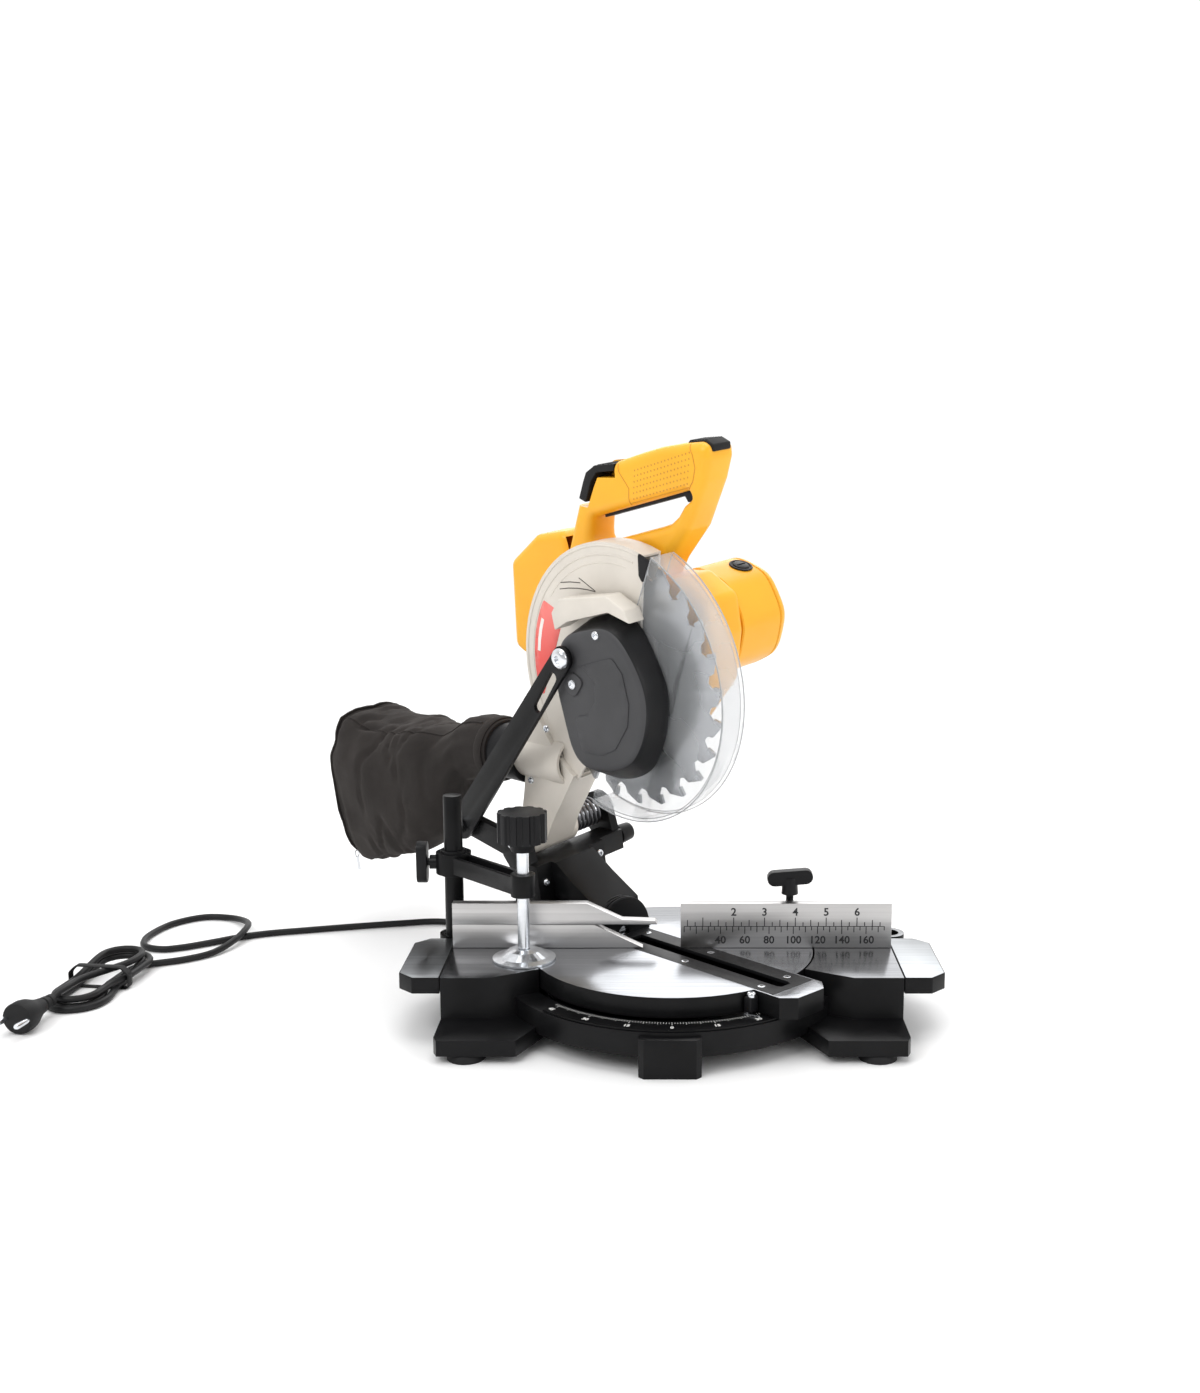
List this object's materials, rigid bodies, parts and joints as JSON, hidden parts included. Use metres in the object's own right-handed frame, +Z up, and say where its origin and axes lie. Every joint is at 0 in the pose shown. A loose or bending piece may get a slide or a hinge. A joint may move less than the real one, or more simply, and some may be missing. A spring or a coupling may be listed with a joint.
{
  "type": "compound mitre saw",
  "caption": "Compound mitre saw: round turntable base with fences and hold-down clamp, tilting head on a chop pivot with retracting clear guard, motor, D-handle and dust bag.",
  "frame": {"origin": "middle of the saw's plan extent on the floor it stands on, without the lead", "axes": "+Z up; -Y towards the user, square to the fences' work faces; +X to the user's right"},
  "size_m": [0.7484, 0.4638, 0.4685],
  "materials": {
    "black_paint": "semi-gloss black paint on cast aluminium",
    "black_plastic": "moulded black plastic",
    "rubber": "black rubber",
    "machined_aluminium": "milled and polished top",
    "steel": "zinc-plated steel",
    "dark_steel": "oiled dark steel",
    "cast_grey": "warm grey paint on cast aluminium",
    "yellow_plastic": "satin yellow moulded plastic",
    "clear_plastic": "clear polycarbonate",
    "cover_grey": "dark grey moulded plastic",
    "copper": "copper windings and steel core",
    "bag_cloth": "dark woven nylon"
  },
  "bodies": {
    "base": {"base_casting": "black_paint", "mitre_scale": "black_paint", "wing_left": "machined_aluminium", "wing_right": "machined_aluminium", "foot_front_left": "rubber", "foot_front_right": "rubber", "foot_rear_left": "rubber", "foot_rear_right": "rubber", "fence_right": "machined_aluminium", "fence_left": "machined_aluminium", "clamp_post": "black_paint", "pivot_bolt": "dark_steel", "cord": "rubber", "cord_hank": "rubber", "mains_plug": "rubber", "cord_gland": "rubber"},
    "fence_slide": {"fence_left_slide": "machined_aluminium"},
    "wing_bolt": {"fence_wing_bolt": "black_plastic"},
    "clamp_bush": {"clamp_bush": "black_plastic"},
    "clamp_arm": {"clamp_arm": "black_paint"},
    "clamp_thumbscrew": {"clamp_thumbscrew": "black_plastic"},
    "clamp_pad": {"clamp_foot": "steel"},
    "clamp_screw": {"clamp_spindle": "steel", "clamp_knob": "black_plastic"},
    "turntable": {"turntable": "machined_aluminium", "kerf_plate": "black_plastic", "mitre_pointer": "steel", "bevel_bolt": "steel"},
    "bevel_lever": {"bevel_lock_lever": "black_plastic"},
    "bevel_arm": {"bevel_housing": "black_paint", "chop_pin": "steel", "return_spring": "dark_steel", "link_pivot_screw": "steel"},
    "lock_pin": {"head_lock_pin": "black_plastic"},
    "guard_link": {"guard_link": "black_paint", "link_bolt": "steel"},
    "head": {"head_casting": "cast_grey", "main_housing": "yellow_plastic", "motor_housing": "yellow_plastic", "motor_end_cap": "yellow_plastic", "brush_cap": "black_plastic", "handle_left": "yellow_plastic", "handle_right": "yellow_plastic", "stator": "dark_steel", "dust_elbow": "black_plastic", "dust_bag": "bag_cloth"},
    "lock_button": {"lock_off_button": "rubber"},
    "trigger": {"trigger": "black_plastic"},
    "blade": {"saw_blade": "steel", "arbor_shaft": "steel", "inner_flange": "dark_steel", "outer_flange": "dark_steel", "blade_bolt": "steel", "driven_gear": "dark_steel"},
    "armature": {"armature_pinion": "steel", "armature_core": "copper", "cooling_fan": "black_plastic"},
    "guard": {"lower_guard": "clear_plastic", "guard_cover": "cover_grey", "guard_bracket": "cast_grey"}
  },
  "joints": [
    {"name": "mitre", "type": "hinge", "parent": "base", "child": "turntable", "pos_m": [0.0596, -0.0869, 0.052], "axis": [0, 0, 1], "range_deg": [-90, 0]},
    {"name": "bevel", "type": "hinge", "parent": "turntable", "child": "bevel_arm", "pos_m": [0.0596, -0.0869, 0.052], "axis": [0.7071, -0.7071, 0], "range_deg": [-7.5, 10]},
    {"name": "chop", "type": "hinge", "parent": "bevel_arm", "child": "head", "pos_m": [-0.05225, 0.01055, 0.12933], "axis": [0.7011, 0.7011, 0.1305], "range_deg": [0, 45], "stiffness_Nm_per_rad": 8, "springref_deg": -57.3},
    {"name": "blade_spin", "type": "hinge", "parent": "head", "child": "blade", "pos_m": [0.023, -0.09239, 0.27805], "axis": [0.7011, 0.7011, 0.1305], "continuous": true},
    {"name": "armature_spin", "type": "hinge", "parent": "head", "child": "armature", "pos_m": [0.04372, -0.11975, 0.31374], "axis": [0.7011, 0.7011, 0.1305], "continuous": true},
    {"name": "guard_turn", "type": "hinge", "parent": "head", "child": "guard", "pos_m": [0.023, -0.09239, 0.27805], "axis": [0.7011, 0.7011, 0.1305], "range_deg": [-109, 1]},
    {"name": "link_swing", "type": "hinge", "parent": "bevel_arm", "child": "guard_link", "pos_m": [-0.09768, 0.05506, 0.13429], "axis": [0.7011, 0.7011, 0.1305], "range_deg": [-1, 48]},
    {"name": "trigger_pull", "type": "hinge", "parent": "head", "child": "trigger", "pos_m": [-0.00993, -0.0829, 0.40396], "axis": [0.7011, 0.7011, 0.1305], "range_deg": [-2.5, 0], "stiffness_Nm_per_rad": 0.5},
    {"name": "lock_press", "type": "slide", "parent": "head", "child": "lock_button", "axis": [0.4981, -0.3504, -0.7932], "range_m": [0, 0.0015], "stiffness_N_per_m": 400},
    {"name": "bevel_lock", "type": "hinge", "parent": "turntable", "child": "bevel_lever", "pos_m": [-0.06485, 0.03755, 0.052], "axis": [-0.7071, 0.7071, 0], "range_deg": [-15, 30]},
    {"name": "head_lock", "type": "slide", "parent": "bevel_arm", "child": "lock_pin", "axis": [0.7011, 0.7011, 0.1305], "range_m": [0, 0.012]},
    {"name": "fence_extend", "type": "slide", "parent": "base", "child": "fence_slide", "axis": [-1, 0, 0], "range_m": [0, 0.05]},
    {"name": "wing_bolt_turn", "type": "hinge", "parent": "base", "child": "wing_bolt", "pos_m": [0.1576, -0.0709, 0.08], "axis": [0, 0, 1], "range_deg": [-180, 180]},
    {"name": "clamp_height", "type": "slide", "parent": "base", "child": "clamp_bush", "axis": [0, 0, 1], "range_m": [0, 0.02]},
    {"name": "clamp_swing", "type": "hinge", "parent": "clamp_bush", "child": "clamp_arm", "pos_m": [-0.1254, -0.0449, 0.114], "axis": [0, 0, 1], "range_deg": [-35, 0]},
    {"name": "clamp_thumb_turn", "type": "hinge", "parent": "clamp_arm", "child": "clamp_thumbscrew", "pos_m": [-0.1454, -0.0449, 0.114], "axis": [-1, 0, 0], "range_deg": [-180, 180]},
    {"name": "clamp_feed", "type": "slide", "parent": "clamp_arm", "child": "clamp_pad", "axis": [0, 0, 1], "range_m": [0, 0.012]},
    {"name": "clamp_knob_turn", "type": "hinge", "parent": "clamp_pad", "child": "clamp_screw", "pos_m": [-0.0599, -0.1139, 0.12], "axis": [0, 0, 1], "range_deg": [-1445, 5]}
  ],
  "couplings": [
    {"joint": "armature_spin", "follows": "blade_spin", "ratio": -5},
    {"joint": "guard_turn", "follows": "chop", "ratio": -2.4},
    {"joint": "link_swing", "follows": "chop", "ratio": 1.044},
    {"joint": "clamp_knob_turn", "follows": "clamp_feed", "rad_per_m": -2094.4}
  ]
}
